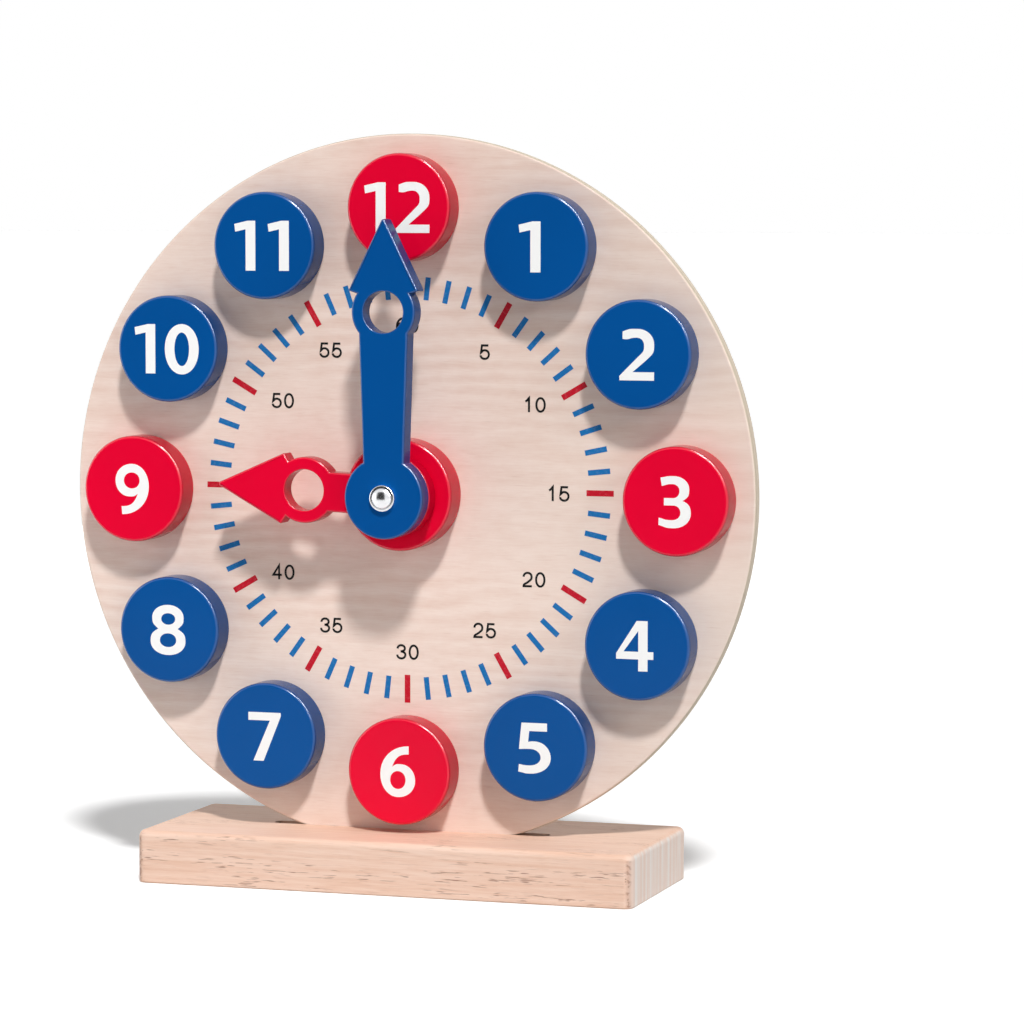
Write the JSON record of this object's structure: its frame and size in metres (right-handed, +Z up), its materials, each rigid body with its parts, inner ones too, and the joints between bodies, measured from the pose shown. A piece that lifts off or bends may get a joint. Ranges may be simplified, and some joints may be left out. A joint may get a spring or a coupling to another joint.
{
  "type": "geared teaching clock",
  "caption": "Wooden teaching clock: round dial standing in a slotted block, geared hour and minute hands, pull-off numbered discs on pegs.",
  "frame": {"origin": "centre of the standing block's underside", "axes": "+Z up, +X to the right of someone who reads the dial, -Y towards them"},
  "size_m": [0.22, 0.0616, 0.2305],
  "materials": {
    "block_wood": "sanded pale softwood, thin clear lacquer",
    "dial_plywood": "sanded pale plywood, matt lacquer",
    "peg_wood": "plain beech dowel",
    "red_paint": "semi-gloss red paint on wood",
    "blue_paint": "semi-gloss blue paint on wood",
    "brass": "turned brass",
    "nylon": "natural nylon",
    "chrome_cap": "bright chrome",
    "steel": "ground steel",
    "gear_plastic": "natural acetal",
    "case_plastic": "ivory moulded plastic, fine matt texture"
  },
  "bodies": {
    "stand": {"stand_base": "block_wood", "dial_face": "dial_plywood", "number_peg_01": "peg_wood", "number_peg_02": "peg_wood", "number_peg_03": "peg_wood", "number_peg_04": "peg_wood", "number_peg_05": "peg_wood", "number_peg_06": "peg_wood", "number_peg_07": "peg_wood", "number_peg_08": "peg_wood", "number_peg_09": "peg_wood", "number_peg_10": "peg_wood", "number_peg_11": "peg_wood", "number_peg_12": "peg_wood", "centre_boss": "red_paint", "centre_bush": "brass", "hour_spacer": "nylon", "idler_stud": "steel", "movement_plate": "case_plastic", "movement_cover": "case_plastic", "cover_screws": "steel"},
    "minute_hand_group": {"minute_hand": "blue_paint", "cap_nut": "chrome_cap", "minute_arbor": "steel", "minute_pinion": "gear_plastic"},
    "hour_hand_group": {"hour_hand": "red_paint", "hand_washer": "nylon", "hour_wheel": "gear_plastic"},
    "idler": {"idler_gear": "gear_plastic"},
    "disc_01": {"number_disc_01": "blue_paint"},
    "disc_02": {"number_disc_02": "blue_paint"},
    "disc_03": {"number_disc_03": "red_paint"},
    "disc_04": {"number_disc_04": "blue_paint"},
    "disc_05": {"number_disc_05": "blue_paint"},
    "disc_06": {"number_disc_06": "red_paint"},
    "disc_07": {"number_disc_07": "blue_paint"},
    "disc_08": {"number_disc_08": "blue_paint"},
    "disc_09": {"number_disc_09": "red_paint"},
    "disc_10": {"number_disc_10": "blue_paint"},
    "disc_11": {"number_disc_11": "blue_paint"},
    "disc_12": {"number_disc_12": "red_paint"}
  },
  "joints": [
    {"name": "minute_hand_turn", "type": "hinge", "parent": "stand", "child": "minute_hand_group", "pos_m": [0, -0.00335, 0.1205], "axis": [0, 1, 0], "continuous": true},
    {"name": "hour_hand_turn", "type": "hinge", "parent": "stand", "child": "hour_hand_group", "pos_m": [0, -0.00335, 0.1205], "axis": [0, 1, 0], "continuous": true},
    {"name": "idler_turn", "type": "hinge", "parent": "stand", "child": "idler", "pos_m": [0, -0.00335, 0.0965], "axis": [0, 1, 0], "continuous": true},
    {"name": "disc_01_pull", "type": "slide", "parent": "stand", "child": "disc_01", "axis": [0, -1, 0], "range_m": [0, 0.007]},
    {"name": "disc_02_pull", "type": "slide", "parent": "stand", "child": "disc_02", "axis": [0, -1, 0], "range_m": [0, 0.007]},
    {"name": "disc_03_pull", "type": "slide", "parent": "stand", "child": "disc_03", "axis": [0, -1, 0], "range_m": [0, 0.007]},
    {"name": "disc_04_pull", "type": "slide", "parent": "stand", "child": "disc_04", "axis": [0, -1, 0], "range_m": [0, 0.007]},
    {"name": "disc_05_pull", "type": "slide", "parent": "stand", "child": "disc_05", "axis": [0, -1, 0], "range_m": [0, 0.007]},
    {"name": "disc_06_pull", "type": "slide", "parent": "stand", "child": "disc_06", "axis": [0, -1, 0], "range_m": [0, 0.007]},
    {"name": "disc_07_pull", "type": "slide", "parent": "stand", "child": "disc_07", "axis": [0, -1, 0], "range_m": [0, 0.007]},
    {"name": "disc_08_pull", "type": "slide", "parent": "stand", "child": "disc_08", "axis": [0, -1, 0], "range_m": [0, 0.007]},
    {"name": "disc_09_pull", "type": "slide", "parent": "stand", "child": "disc_09", "axis": [0, -1, 0], "range_m": [0, 0.007]},
    {"name": "disc_10_pull", "type": "slide", "parent": "stand", "child": "disc_10", "axis": [0, -1, 0], "range_m": [0, 0.007]},
    {"name": "disc_11_pull", "type": "slide", "parent": "stand", "child": "disc_11", "axis": [0, -1, 0], "range_m": [0, 0.007]},
    {"name": "disc_12_pull", "type": "slide", "parent": "stand", "child": "disc_12", "axis": [0, -1, 0], "range_m": [0, 0.007]}
  ],
  "couplings": [
    {"joint": "hour_hand_turn", "follows": "minute_hand_turn", "ratio": 0.083333},
    {"joint": "idler_turn", "follows": "minute_hand_turn", "ratio": -0.33333}
  ]
}
